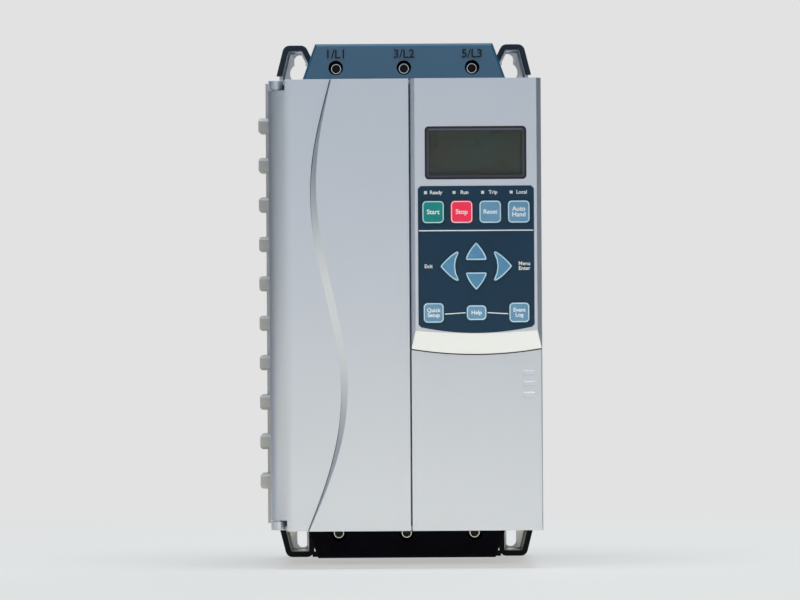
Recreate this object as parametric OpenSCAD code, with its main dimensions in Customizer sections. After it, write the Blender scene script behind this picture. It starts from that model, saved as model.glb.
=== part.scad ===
// Wall-mounted soft starter for a three-phase motor, with a hinged wiring door and a keypad.
// Modules are drawn with the unit lying on its back: x right, y up the wall, z out from the wall.
// The draw lines at the end stand it up: x right, z up, front towards -y, wall at y = 0.

/* [Overall] */
// Height over the mounting ears
overall_h = 295; // [292:1:300]
// Width of the front cover
cover_w = 150; // [149:0.5:154]
// Depth from the wall to the key tops
overall_d = 183; // [181:0.5:190]
// Height of the dark chassis box
chassis_h = 244; // [242:0.5:247]
// How far the front cover hangs below the chassis
cover_skirt = 4.5; // [3:0.5:6]
// Depth of the joint between chassis and front cover
joint_d = 111; // [110:0.5:114]

/* [Walls and fits] */
// Wall thickness of the mouldings
wall = 2.5; // [2:0.1:3]
// How far the chassis sides stand inside the cover sides
chassis_inset = 1; // [0.5:0.1:1.5]
// Clearance around moving keys and tongues
play = 0.3; // [0.25:0.05:0.4]

/* [Mounting] */
// Distance between the left and right mounting slots
mount_pitch_x = 120; // [118:1:122]
// Distance between the upper and lower screw seats
mount_pitch_y = 278; // [276:1:280]
// Width of the mounting slots
slot_w = 6.5; // [6:0.5:7]
// Full length of the mounting slots
slot_l = 21.5; // [20:0.5:23]
// Diameter of the keyhole entry
keyhole_d = 11.5; // [10.5:0.5:12.5]
// Thickness of the steel back plate
plate_t = 2; // [1.5:0.1:2.5]
// Thickness of the rim around an ear
rim_t = 3; // [2.4:0.1:3.4]
// Height of the rim in front of the back plate
rim_h = 10; // [8:1:14]
// Radius of the outer corners of an ear
ear_r = 4; // [3.5:0.25:5]

/* [Door] */
// Width of the right-hand panel that carries the keypad
panel_w = 71.8; // [71:0.1:74]
// Gap between the door and the right panel
seam = 0.9; // [0.8:0.1:1.4]
// Radius of the door's left edge
door_r = 13; // [12:0.5:14]
// Hinge axis behind the front panel plane
hinge_depth = 11.5; // [11:0.25:12]
// Radius of the hinge barrels
knuckle_r = 3.7; // [3.5:0.1:3.9]
// Radius of the hinge pins
pin_r = 1.75; // [1.5:0.05:2]
// Height of the curved step on the door
step_h = 2.2; // [1.4:0.1:2.8]
// Greatest width of the sloped face of the step
step_w = 4.4; // [2.5:0.1:5]

/* [Wiring bay] */
// Depth of the bay floor behind the front panel plane
bay_depth = 32; // [30:0.5:34]
// Number of lugs on the wiring comb
lug_count = 10; // [6:1:11]
// Distance between lugs
lug_pitch = 21.9; // [18:0.1:22.1]
// Height of one lug
lug_h = 8.4; // [6:0.2:10]
// How far a lug stands out from the cover side
lug_out = 6; // [4:0.5:8]
// Distance between the poles of the plug-in terminals
pole_pitch = 5.08; // [4.8:0.02:5.2]

/* [Keypad] */
// How far the keypad face stands out from the front panel
bezel_raise = 4.4; // [4:0.1:4.8]
// Width of the sloped sides of the keypad
bezel_slope = 2.3; // [1.5:0.1:3]
// How far the keys stand out from the overlay
key_proud = 0.6; // [0.4:0.1:0.8]
// Travel of a key
key_travel = 0.6; // [0.4:0.05:0.7]
// Width of the upper keys
key_w = 12.1; // [11:0.1:12.5]
// Height of the upper keys
key_h = 12.4; // [11:0.1:13]
// Distance between the upper keys
key_pitch = 15.67; // [15.2:0.01:16]
// Width of the display opening
window_w = 55.8; // [50:0.2:57]
// Height of the display opening
window_h = 29.2; // [26:0.2:30]

/* [Power parts] */
// Distance between the three phases
phase_pitch = 38.2; // [37:0.1:39]
// Height of the heatsink fins
fin_h = 40; // [38:0.5:41]
// Thickness of the heatsink base
base_t = 8; // [7:0.5:9]
// Distance between the heatsink fins
fin_pitch = 8; // [7:0.25:10]
// Height of the thyristor modules and bypass relays
module_h = 30; // [28:0.5:31]
// Thickness of the copper busbars
bar_t = 2; // [1.5:0.1:2.5]
// Radius of the conductor bores in the power terminals
bore_r = 5; // [4:0.1:5.4]
// Diameter of the screwdriver holes
driver_d = 8.2; // [7:0.1:9]

/* [Hidden] */
$fn = 48;
eps = 0.01;

// Main planes
half_w = cover_w / 2;
top_y = chassis_h / 2;
low_y = -top_y;
cover_low = low_y - cover_skirt;
face_d = overall_d - key_proud;
panel_d = face_d - bezel_raise;
floor_d = panel_d - bay_depth;
chassis_x = half_w - chassis_inset;
inner_x = chassis_x - wall;
panel_x = half_w - panel_w;
door_edge = panel_x - seam;

// Mounting ears
ear_y = overall_h / 2;
slot_x = mount_pitch_x / 2;
seat_y = mount_pitch_y / 2;
slot_y = seat_y + slot_w / 2 - slot_l / 2;
ear_foot_y = top_y + 8;
ear_foot_x = slot_x + 13.4;
ear_tip_x = slot_x + 9;
ear_root_y = top_y - 3;
ear_arc_n = 4;
upper_in_x = slot_x - 3.2;
upper_lean = 14;
lower_in_x = slot_x - slot_w / 2 - rim_t - 0.4;
lip_h = 4;
lip_w = 1.6;
lip_top_w = 0.5;

// Door and hinge
hinge_x = 4.5 - half_w;
hinge_d = panel_d - hinge_depth;
low_face_d = panel_d - step_h;
door_arc_x = door_r - half_w;
door_arc_d = low_face_d - door_r;
skirt_d = hinge_d - 8.5;
side_rim_d = skirt_d - 1.6;
flap_d = side_rim_d + 0.6;
notch_w = 9.2;
notch_h = 6;
knuckle_h = 4.6;
knuckle_gap = 0.7;
pin_l = notch_h - 0.6;
swing_r = norm([half_w + hinge_x, hinge_d - skirt_d]) + 0.4;
bearing_gap = 0.05;
tab_y = 75;
tab_w = 10;
tab_in = 4.8;
step_n = 40;
step_top_x = 34.7 - half_w;
step_low_x = 21.1 - half_w;
step_lean = 6.6;
step_sway = 11.2;
raised_x = step_top_x + step_sway + 2;

// Wiring bay
post_r = 4.5;
post_y = top_y - 12;
exit_y = post_y - 6;
header_x = hinge_x + swing_r + 12;
header_w = 12;
header_h = 9;
plug_w = 17;
plug_h = 14;
plug_poles = [3, 5, 6, 6];
plug_gap = 3;
plug_count = len(plug_poles);
plug_run = poles_before(plug_count) * pole_pitch + plug_gap * (plug_count - 1);
slot_half = plug_run / 2 + 6.7;
post_x = post_r + 4 - inner_x;
screw_r = 2;
board_t = 1.6;
board_gap = 2.4;
control_d = floor_d - wall - board_gap;
control_x0 = wall + 3.5 - half_w;
control_x1 = panel_x - 3.2;
control_y = post_y - post_r - 4.5;
control_bosses = [control_x0 + 25, control_x1 - 8];
comb_t = 2;
comb_d = floor_d - 2;
comb_y = -1.1;
lug_l = 26;
lug_bevel = 1.6;
lug_r = 1.8;

// Keypad: heights are measured from pad_y
bezel_wall = 2.2;
bezel_x0 = panel_x;
bezel_x1 = half_w - 0.3;
pad_x = (bezel_x0 + bezel_x1) / 2;
pad_y = top_y - 122;
chin_n = 16;
chin_top = pad_y - 16.6;
chin_low = pad_y - 26.5;
chin_top_sag = 1.6;
chin_low_sag = 3;
pocket_x0 = bezel_x0 + bezel_slope + bezel_wall;
pocket_x1 = bezel_x1 - bezel_slope - bezel_wall;
pocket_y0 = chin_top + 2.6;
pocket_y1 = top_y - 4;
skin_d = face_d - bezel_wall;
overlay_t = 0.6;
overlay_x = (bezel_x1 - bezel_x0) / 2 - bezel_slope - 1.65;
overlay_top = pad_y + 62.8;
overlay_low = pad_y - 14.7;
overlay_sag = 3.2;
overlay_r = 1.5;
window_y = pad_y + 81;
glass_t = 1.5;
row_y = pad_y + 48.5;
arrow_y = pad_y + 18.7;
tool_y = pad_y - 6.8;
flange_t = 0.8;
flange_w = 0.8;
led_y = pad_y + 59.2;
led_w = 1.7;
led_off = 4.1;
key_board_d = skin_d - 8;
dome_h = 3.2;
stem_gap = 0.1;
boss_r = 2.5;
boss_x = (pocket_x1 - pocket_x0) / 2 - 3.25;
boss_y = pocket_y1 - 10;
bosses = [[-0.75 * key_pitch, tool_y], [0.75 * key_pitch, tool_y], [-boss_x, boss_y], [boss_x, boss_y]];
rib_y = chin_low - 13.4;
rib_pitch = 6;

// Power parts
phases = [-phase_pitch, 0, phase_pitch];
base_d = plate_t + 4 + fin_h;
sink_d = base_d + base_t;
sink_x = inner_x - 3.5;
sink_y = post_y - post_r - 1.5;
ledge_w = 9;
fin_t = 2.4;
fin_n = floor((sink_x - 8) / fin_pitch);
fixing_d = sink_d + module_h;
run_d = sink_d + 16;
bar_w = 12;
module_y = 36;
module_l = 94;
module_w = 34;
module_body = 11;
module_hole = 7;
land_y = module_l / 2 - module_body - 10;
land_h = 5;
relay_l = 38;
relay_y = module_y - module_l / 2 - relay_l / 2 - 10;
relay_w = 32;
bend_up_y = module_y + module_l / 2 + 7;
bend_low_y = relay_y - relay_l / 2 - 7;
ct_l = 14;
ct_y = ct_l / 2 + 2 - sink_y;
ct_w = 30;
ct_h = 34;
guard_foot = phase_pitch + 19.5;
guard_tip = phase_pitch + 11.5;
guard_y = top_y + 22.1;
guard_d0 = plate_t + 60;
guard_d1 = joint_d - 1;
guard_bevel = 1.2;
terminal_w = 15;
terminal_l = 16;
terminal_y = top_y + 2;
terminal_h = 16;
bore_d = run_d + bar_t + terminal_h / 2;
bore_l = 15;
screw_y = top_y + 8.7;
head_r = 3.2;
head_h = 5;
power_d = fixing_d + bar_t + 18;
spacer_r = 3.5;
spacer_x = inner_x - spacer_r - 5;
spacer_top_y = module_y + module_l / 2 + spacer_r + 1.5;
spacer_low_y = ct_y + ct_l / 2 + spacer_r + 4.5;
power_edge = 5;
supply_x = 32;
supply_y = -52;
supply_w = 40;
supply_l = 36;
supply_h = 22;
coil_l = 48;

letters = ["a", "b", "c"];

// Name, position from the keypad's centre line, shape, width and height of every key
KEYS = [
    ["key_start", -1.5 * key_pitch, row_y, "plain", key_w, key_h],
    ["key_stop", -0.5 * key_pitch, row_y, "plain", key_w, key_h],
    ["key_reset", 0.5 * key_pitch, row_y, "plain", key_w, key_h],
    ["key_menu", 1.5 * key_pitch, row_y, "plain", key_w, key_h],
    ["key_up", 0, arrow_y, "wedge", 90, 0],
    ["key_down", 0, arrow_y, "wedge", -90, 0],
    ["key_left", 0, arrow_y, "crescent", 180, 0],
    ["key_right", 0, arrow_y, "crescent", 0, 0],
    ["key_tool_left", -1.5 * key_pitch, tool_y, "plain", 11.2, 11],
    ["key_tool_middle", 0, tool_y, "plain", 11, 8.3],
    ["key_tool_right", 1.5 * key_pitch, tool_y, "plain", 11.2, 11]
];

// Stands a lying part up against the wall
module upright() {
    rotate([90, 0, 0])
        children();
}

// A block between two opposite corners
module block(from, to) {
    translate(from)
        cube(to - from);
}

// A section drawn in x and z, run up the wall
module run_up(y0, y1) {
    translate([0, y1, 0])
        rotate([90, 0, 0])
            linear_extrude(y1 - y0)
                children();
}

// A section drawn in y and z, run across the unit
module run_across(x0, x1) {
    translate([x0, 0, 0])
        rotate([90, 0, 90])
            linear_extrude(x1 - x0)
                children();
}

// A flat outline raised between two depths
module raise(z0, z1) {
    translate([0, 0, z0])
        linear_extrude(z1 - z0)
            children();
}

// A round pin or hole out from the wall
module peg(at, r, z0, z1) {
    translate([at.x, at.y, z0])
        cylinder(r = r, h = z1 - z0);
}

// A round pin or hole up the wall, placed in x and z
module post(x, d, r, y0, y1) {
    translate([x, y0, d])
        rotate([-90, 0, 0])
            cylinder(r = r, h = y1 - y0);
}

// A centred rectangle with round corners
module rounded(w, h, r) {
    square([w - 2 * r, h], center = true);
    square([w, h - 2 * r], center = true);
    for (x = [-1, 1], y = [-1, 1])
        translate([x * (w / 2 - r), y * (h / 2 - r)])
            circle(r);
}

// A solid between two outlines with the same number of points
module loft(low, z0, high, z1) {
    n = len(low);
    points = concat([for (p = low) [p.x, p.y, z0]], [for (p = high) [p.x, p.y, z1]]);
    first = [for (i = [0:n - 1]) i];
    last = [for (i = [n - 1:-1:0]) n + i];
    left_halves = [for (i = [0:n - 1]) [i, n + i, n + (i + 1) % n]];
    right_halves = [for (i = [0:n - 1]) [i, n + (i + 1) % n, (i + 1) % n]];
    polyhedron(points, concat([first], [last], left_halves, right_halves));
}

function unit(v) = v / norm(v);

function left_of(v) = [-v.y, v.x];

// A convex outline moved inwards by t
function inset(pts, t) = [
    for (i = [0:len(pts) - 1])
        let (
            n = len(pts),
            u = unit(pts[i] - pts[(i + n - 1) % n]),
            v = unit(pts[(i + 1) % n] - pts[i])
        )
        pts[i] + (left_of(u) + left_of(v)) * t / (1 + u * v)
];

function turned(v, a) = [v.x * cos(a) - v.y * sin(a), v.x * sin(a) + v.y * cos(a)];

// Points of an arc of radius r that takes the place of the corner at b
function corner_arc(a, b, c, r) =
    let (
        u = unit(b - a),
        turn = acos(u * unit(c - b)),
        start = b - u * r * tan(turn / 2),
        centre = start + left_of(u) * r
    )
    [for (k = [0:ear_arc_n]) centre + turned(start - centre, turn * k / ear_arc_n)];

// A right-hand ear as on the upper end, from its outer foot round to its inner foot
function ear_outline(in_x, lean) = [
    [ear_foot_x, ear_root_y],
    [ear_foot_x, ear_foot_y],
    [ear_tip_x, ear_y],
    [in_x, ear_y],
    [in_x - lean, ear_root_y]
];

upper_ear = ear_outline(upper_in_x, upper_lean);
lower_ear = ear_outline(lower_in_x, 0);

// An ear moved inwards by t, with its two outer corners rounded
function ear_shape(ear, t) =
    let (
        pts = inset(ear, t),
        r = max(ear_r - t, 0.3)
    )
    concat(
        [pts[0], pts[1]],
        corner_arc(pts[1], pts[2], pts[3], r),
        corner_arc(pts[2], pts[3], pts[4], r),
        [pts[4]]
    );

// Puts a right-hand ear on both sides of one end of the unit
module ear_pair(ear) {
    for (x = [0, 1])
        mirror([x, 0, 0])
            mirror([0, ear == lower_ear ? 1 : 0, 0])
                children();
}

module mount_slot() {
    translate([0, slot_l / 2 - slot_w / 2])
        circle(slot_w / 2);
    translate([0, slot_w / 2 - slot_l / 2])
        circle(slot_w / 2);
    square([slot_w, slot_l - slot_w], center = true);
}

// Pressed lip that rises towards the rim of an ear
module ear_lip(ear) {
    foot = ear_shape(ear, rim_t + lip_w);
    crest = ear_shape(ear, rim_t + lip_top_w);
    difference() {
        raise(plate_t - eps, plate_t + lip_h)
            polygon(ear_shape(ear, rim_t));
        loft(foot, plate_t - 2 * eps, crest, plate_t + lip_h + eps);
        block([0, top_y - 10, 0], [half_w, top_y + 4, overall_d]);
    }
}

// Steel sheet with four ears: keyholes above, slots below
module back_plate() {
    color("silver")
        difference() {
            union() {
                block([-chassis_x, low_y, 0], [chassis_x, top_y, plate_t]);
                for (ear = [upper_ear, lower_ear])
                    ear_pair(ear) {
                        raise(0, plate_t)
                            polygon(ear_shape(ear, rim_t / 2));
                        ear_lip(ear);
                    }
            }
            for (x = [-slot_x, slot_x], y = [-slot_y, slot_y])
                translate([x, y, -1])
                    linear_extrude(plate_t + 2)
                        mount_slot();
            for (x = [-slot_x, slot_x])
                peg([x, slot_y], keyhole_d / 2, -1, plate_t + 1);
        }
}

module ear_rim(ear) {
    difference() {
        raise(plate_t, plate_t + rim_h)
            polygon(ear_shape(ear, 0));
        raise(plate_t - 1, plate_t + rim_h + 1)
            polygon(ear_shape(ear, rim_t));
        block([slot_x, top_y - 10, 0], [half_w + 5, ear_foot_y, overall_d]);
        block([0, top_y - 10, 0], [half_w + 5, top_y - 1, overall_d]);
    }
}

// Dark rear box: fin channel, ledges for the heatsink, ear rims and screw posts
module chassis() {
    color("midnightblue")
        difference() {
            union() {
                difference() {
                    block([-chassis_x, low_y, plate_t], [chassis_x, top_y, joint_d]);
                    block([-inner_x, low_y + wall, 0], [inner_x, top_y - wall, joint_d + 1]);
                }
                tongue();
                for (x = [-inner_x - 1, inner_x + 1 - ledge_w])
                    block([x, low_y + 1, base_d - 3], [x + ledge_w, top_y - 1, base_d]);
                for (ear = [upper_ear, lower_ear])
                    ear_pair(ear)
                        ear_rim(ear);
                block([-lower_in_x - 1, -ear_y, plate_t], [lower_in_x + 1, rim_t - ear_y, plate_t + rim_h]);
                for (y = [-post_y, post_y]) {
                    peg([post_x, y], post_r, base_d - 1, floor_d - wall);
                    block([-inner_x - 1, y - 2, base_d - 1], [post_x, y + 2, joint_d]);
                }
            }
            channel_vents();
            for (x = phases)
                block([x - 8, low_y - 1, run_d - 1], [x + 8, top_y + 1, run_d + bar_t + 1]);
            for (y = [-post_y, post_y])
                peg([post_x, y], screw_r + 0.05, floor_d - 30, floor_d);
        }
}

// Raised edge that lines the front cover up
module tongue() {
    out = half_w - wall - 0.2;
    high = top_y - wall - 0.2;
    difference() {
        block([-out, -high, joint_d - 4], [out, high, joint_d + 3]);
        block([1.4 - out, 1.4 - high, joint_d - 5], [out - 1.4, high - 1.4, joint_d + 4]);
    }
}

// Air slots at both ends of the fin channel and along its sides
module channel_vents() {
    for (x = [-6:6])
        block([x * 9 - 3, low_y - 1, plate_t + 6], [x * 9 + 3, top_y + 1, base_d - 8]);
    for (y = [-5:5])
        block([-half_w - 9, y * 18 - 2.5, plate_t + 8], [half_w + 9, y * 18 + 2.5, base_d - 10]);
}

// Finned extrusion that carries the power parts
module heatsink() {
    color("gainsboro")
        difference() {
            union() {
                block([-sink_x, -sink_y, base_d], [sink_x, sink_y, sink_d]);
                for (i = [-fin_n:fin_n])
                    block(
                        [i * fin_pitch - fin_t / 2, -sink_y, base_d - fin_h],
                        [i * fin_pitch + fin_t / 2, sink_y, base_d + 1]
                    );
            }
            for (x = phases, y = [-1, 1])
                peg([x, module_y + y * (module_l / 2 - module_hole)], screw_r + 0.05, sink_d - 6, sink_d + 1);
        }
}

guard = [[-guard_foot, top_y], [guard_foot, top_y], [guard_tip, guard_y], [-guard_tip, guard_y]];

// Shrouded terminal housing on the upper end; the lower one is its mirror image
module terminal_housing() {
    inner = inset(guard, wall);
    color("darkslategray")
        difference() {
            union() {
                raise(guard_d0, guard_d1 - guard_bevel)
                    polygon(guard);
                loft(guard, guard_d1 - guard_bevel, inset(guard, guard_bevel), guard_d1);
            }
            raise(guard_d0 + wall, guard_d1 - wall)
                polygon(inner);
            block(
                [inner[0].x, top_y - 1, guard_d0 + wall],
                [inner[1].x, top_y + wall + eps, guard_d1 - wall]
            );
            for (x = phases) {
                peg([x, screw_y], driver_d / 2, guard_d1 - wall - 1, guard_d1 + 1);
                post(x, bore_d, bore_r + 1.5, guard_y - wall - 1, guard_y + 1);
            }
        }
}

// Section of the front cover in x and z: full depth on the right, bay depth on the left
module cover_section() {
    r = 1;
    translate([panel_x, joint_d])
        square([half_w - panel_x - r, panel_d - joint_d]);
    translate([panel_x, joint_d])
        square([half_w - panel_x, panel_d - joint_d - r]);
    translate([half_w - r, panel_d - r])
        circle(r);
    translate([-half_w, joint_d])
        square([half_w + panel_x + 1, side_rim_d - joint_d]);
}

// Silver front moulding with the wiring bay, the keypad opening and the hinge barrels
module front_cover() {
    color("lightsteelblue")
        difference() {
            union() {
                difference() {
                    run_up(cover_low, top_y)
                        cover_section();
                    cover_hollows();
                }
                for (y = [cover_low + knuckle_gap, top_y - knuckle_gap - knuckle_h])
                    knuckle(y);
                for (y = [-tab_y, tab_y])
                    block([panel_x - 2, y - 4, floor_d - 1], [panel_x + 1, y + 4, floor_d + 2]);
                for (x = control_bosses, y = [9 - control_y, control_y - 9])
                    peg([x, y], 3, control_d, floor_d - wall + 1);
                for (i = [0:2])
                    grip_rib(rib_y - i * rib_pitch);
            }
            for (y = [-post_y, post_y])
                peg([post_x, y], screw_r + 0.2, floor_d - wall - 1, floor_d + 1);
            post(hinge_x, hinge_d, pin_r + bearing_gap, cover_low - 1, cover_low + notch_h + 1);
            post(hinge_x, hinge_d, pin_r + bearing_gap, top_y - notch_h - 1, top_y + 1);
        }
}

module cover_hollows() {
    low = cover_low + wall;
    high = top_y - wall;
    block([wall - half_w, low_y + wall, joint_d - 1], [half_w - wall, high, joint_d + 5]);
    block([wall - half_w, low, joint_d + 3], [half_w - wall, high, floor_d - wall]);
    block([panel_x + wall, low, floor_d - wall - 1], [half_w - wall, high, panel_d - wall]);
    block([wall - half_w, low, floor_d], [panel_x, high, panel_d]);
    block([-half_w - 1, -exit_y, floor_d], [wall - half_w + 1, exit_y, panel_d]);
    block(
        [header_x - header_w / 2 - 1, -slot_half, floor_d - wall - 1],
        [header_x + header_w / 2 + 1, slot_half, floor_d + 1]
    );
    block([pocket_x0, pocket_y0, panel_d - wall - 1], [pocket_x1, pocket_y1, panel_d + 1]);
}

// Hinge barrel with the arm that joins it to the bay wall
module knuckle(y) {
    post(hinge_x, hinge_d, knuckle_r, y, y + knuckle_h);
    block([-half_w, y, side_rim_d - 3], [hinge_x + 1, y + knuckle_h, side_rim_d]);
    block([hinge_x - 2.2, y, side_rim_d - 3], [hinge_x + 2.2, y + knuckle_h, hinge_d]);
}

// Raised rib for the finger on the lower right panel
module grip_rib(y) {
    run_across(half_w - 10.4, half_w - 4.1)
        polygon([
            [y - 1.5, panel_d - 0.5],
            [y - 1.5, panel_d],
            [y - 0.8, panel_d + 0.7],
            [y + 0.8, panel_d + 0.7],
            [y + 1.5, panel_d],
            [y + 1.5, panel_d - 0.5]
        ]);
}

// Outer section of the door in x and z, from its front face back to the skirt
module door_section(t) {
    intersection() {
        union() {
            translate([door_arc_x, door_arc_d])
                circle(door_r - t);
            translate([door_arc_x, 0])
                square([door_edge - t - door_arc_x, low_face_d - t]);
            translate([t - half_w, 0])
                square([door_r, door_arc_d]);
        }
        translate([-half_w, skirt_d - 5])
            square([cover_w, overall_d]);
    }
}

// Middle of the step's slope at a share s of the way down the door
function step_x(s) = step_top_x + (step_low_x - step_top_x) * s
    + step_lean * sin(180 * s) - step_sway * sin(360 * s);

function step_slope(s) = 0.4 + (step_w - 0.4) * pow(sin(180 * s), 1.2);

// Line along the slope from top to bottom; share 0 is the foot of the slope, 1 its crest
function step_line(share, d) = [
    for (i = [0:step_n])
        let (s = i / step_n)
        [step_x(s) + (share - 0.5) * step_slope(s), top_y - s * (top_y - cover_low), d]
];

// The same line moved across to the door's right edge
function door_side(line) = [for (p = line) [door_edge, p.y, p.z]];

// Raised part of the door, from the slope across to the right edge
module raised_part(under) {
    n = step_n + 1;
    foot = step_line(-under / step_h, low_face_d - under);
    crest = step_line(1, panel_d);
    backs = [for (i = [0:n - 2]) [i, i + 1, n + i + 1, n + i]];
    slopes = [for (i = [0:n - 2]) [i, 2 * n + i, 2 * n + i + 1]];
    slope_halves = [for (i = [0:n - 2]) [i, 2 * n + i + 1, i + 1]];
    fronts = [for (i = [0:n - 2]) [2 * n + i, 3 * n + i, 3 * n + i + 1, 2 * n + i + 1]];
    sides = [for (i = [0:n - 2]) [n + i + 1, 3 * n + i + 1, 3 * n + i, n + i]];
    ends = [[n, 3 * n, 2 * n, 0], [n - 1, 3 * n - 1, 4 * n - 1, 2 * n - 1]];
    polyhedron(
        concat(foot, door_side(foot), crest, door_side(crest)),
        concat(backs, slopes, slope_halves, fronts, sides, ends)
    );
}

// Hinged door of the wiring bay, with its curved step, hinge pins and snap tabs
module door() {
    color("lightgray")
        union() {
            difference() {
                union() {
                    difference() {
                        run_up(cover_low, top_y)
                            door_section(0);
                        run_up(cover_low + wall, top_y - wall)
                            door_section(wall);
                    }
                    raised_part(0.3);
                    for (y = [cover_low + notch_h, top_y - notch_h - 8])
                        post(hinge_x, hinge_d, knuckle_r, y, y + 8);
                }
                block(
                    [raised_x, cover_low + wall, low_face_d - wall - 1],
                    [door_edge - wall, top_y - wall, panel_d - wall]
                );
                door_cuts();
            }
            post(hinge_x, hinge_d, pin_r, cover_low + notch_h - pin_l, cover_low + notch_h + 1);
            post(hinge_x, hinge_d, pin_r, top_y - notch_h - 1, top_y - notch_h + pin_l);
            for (y = [-tab_y, tab_y])
                block(
                    [door_edge - tab_in, y - tab_w / 2, floor_d + 3],
                    [door_edge - wall, y + tab_w / 2, flap_d + 3]
                );
        }
}

// Notches for the hinge barrels, and the skirts trimmed to their depths
module door_cuts() {
    hinge_side = notch_w + 8 - half_w;
    for (y = [cover_low - 1, top_y - notch_h])
        block([-half_w - 1, y, 0], [notch_w - half_w, y + notch_h + 1, overall_d]);
    block([-half_w - 1, cover_low - 1, 0], [hinge_side, top_y + 1, skirt_d]);
    block([hinge_side - 1, cover_low - 1, 0], [door_edge + 1, top_y + 1, flap_d]);
}

// Comb on the left side that holds the control wires
module wire_comb() {
    first_y = (lug_count - 1) * lug_pitch / 2 + comb_y;
    color("lightgray")
        union() {
            block([-half_w - comb_t, low_y - 1, comb_d - lug_l + 4], [-half_w, top_y - 1, comb_d - 4]);
            for (i = [0:lug_count - 1])
                translate([0, first_y - i * lug_pitch, 0])
                    lug();
        }
}

// One lug: bevelled towards the front, with its two free corners rounded
module lug() {
    top = lug_h / 2;
    free_x = -half_w - lug_out;
    intersection() {
        run_across(free_x, -half_w)
            polygon([
                [-top, comb_d - lug_l],
                [top, comb_d - lug_l],
                [top, comb_d - lug_bevel],
                [top - lug_bevel, comb_d],
                [lug_bevel - top, comb_d],
                [-top, comb_d - lug_bevel]
            ]);
        raise(comb_d - lug_l - 1, comb_d + 1) {
            translate([free_x + lug_r, -top])
                square([lug_out - lug_r, lug_h]);
            translate([free_x, lug_r - top])
                square([lug_out, lug_h - 2 * lug_r]);
            for (y = [lug_r - top, top - lug_r])
                translate([free_x + lug_r, y])
                    circle(lug_r);
        }
    }
}

// Lower edge of the keypad: a shallow arc that hangs down in the middle
function chin_line(x0, x1, y, sag) = [
    for (i = [0:chin_n])
        let (u = 2 * i / chin_n - 1)
        [x0 + (x1 - x0) * i / chin_n, y - sag * (1 - u * u)]
];

function bezel_outline(slope, y, sag) = concat(
    chin_line(bezel_x0 + slope, bezel_x1 - slope, y, sag),
    [[bezel_x1 - slope, top_y], [bezel_x0 + slope, top_y]]
);

// Raised keypad moulding with sloped sides and a curved chin
module keypad_bezel() {
    foot = bezel_outline(0, chin_low, chin_low_sag);
    crest = bezel_outline(bezel_slope, chin_top, chin_top_sag);
    color("lightgray")
        union() {
            difference() {
                loft(foot, panel_d, crest, face_d);
                block([pocket_x0, pocket_y0, panel_d - 1], [pocket_x1, pocket_y1, skin_d]);
                translate([pad_x, window_y, skin_d - 1])
                    linear_extrude(bezel_wall + 2)
                        rounded(window_w, window_h, 2.2);
                raise(face_d - overlay_t, face_d + 1)
                    overlay_outline(0.1);
                raise(skin_d - 1, face_d)
                    translate([pad_x, 0])
                        key_field(play);
                raise(skin_d - 1, face_d)
                    led_field(led_w + 0.3);
            }
            for (b = bosses)
                peg([pad_x + b.x, b.y], boss_r, key_board_d, skin_d + 0.5);
        }
}

module overlay_outline(grow) {
    x0 = pad_x - overlay_x - grow;
    x1 = pad_x + overlay_x + grow;
    y0 = overlay_low - grow;
    y1 = overlay_top + grow;
    r = overlay_r;
    polygon(concat(
        chin_line(x0 + r, x1 - r, y0, overlay_sag),
        [[x1, y0 + r], [x1, y1 - r], [x1 - r, y1]],
        [[x0 + r, y1], [x0, y1 - r], [x0, y0 + r]]
    ));
}

// Dark front sheet with openings for the keys and lamps
module keypad_overlay() {
    color("darkslateblue")
        difference() {
            raise(face_d - overlay_t, face_d)
                overlay_outline(0);
            raise(face_d - overlay_t - 1, face_d + 1)
                translate([pad_x, 0])
                    key_field(play);
            raise(face_d - overlay_t - 1, face_d + 1)
                led_field(led_w + 0.3);
        }
}

// Openings for all the keys, grown by their play
module key_field(grow) {
    for (k = KEYS)
        translate([k[1], k[2]])
            key_shape(k, grow);
}

module led_field(w) {
    for (i = [0:3])
        translate([pad_x + (i - 1.5) * key_pitch - led_off, led_y])
            square(w, center = true);
}

// Outline of one key about its own place
module key_shape(k, grow) {
    if (k[3] == "plain")
        rounded(k[4] + 2 * grow, k[5] + 2 * grow, 2.4 + grow);
    else
        rotate(k[4])
            offset(r = grow, $fn = 24)
                offset(r = 0.9, $fn = 24)
                    offset(delta = -0.9)
                        arrow_shape(k[3]);
}

// Arrow key that points along x: a bulged wedge, or a crescent round the other keys
module arrow_shape(kind) {
    if (kind == "wedge")
        translate([3.3, 0])
            bulge(5.9, 10);
    else
        difference() {
            translate([8.2, 0])
                bulge(8.9, 11.7);
            translate([-2.15, 0])
                circle(13.65);
        }
}

// Triangle with bulging sides, base at x = 0 and tip at x = l
module bulge(w, l) {
    n = 8;
    side = [for (i = [0:n]) [l * i / n, w * (1 - pow(i / n, 1.6))]];
    polygon(concat(side, [for (i = [n - 1:-1:0]) [side[i].x, -side[i].y]]));
}

// One key: cap through the overlay, flange behind the bezel, stem over its dome
module key(k) {
    flange_d = skin_d - play;
    tip_d = key_board_d + dome_h + key_travel + stem_gap;
    stem = k[3] == "plain" ? [0, 0] : k[3] == "wedge" ? [7, 0] : [14.5, 0];
    color("steelblue")
        translate([pad_x + k[1], k[2], 0])
            union() {
                raise(flange_d - flange_t, overall_d)
                    key_shape(k, 0);
                raise(flange_d - flange_t, flange_d)
                    key_shape(k, flange_w);
                rotate(k[3] == "plain" ? 0 : k[4])
                    peg(stem, 1.6, tip_d, flange_d - flange_t / 2);
            }
}

// Clear window glued behind the display opening
module display_window() {
    color("slategray")
        translate([pad_x, window_y, skin_d - glass_t])
            linear_extrude(glass_t)
                rounded(window_w + 3, window_h + 3, 2.2);
}

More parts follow.
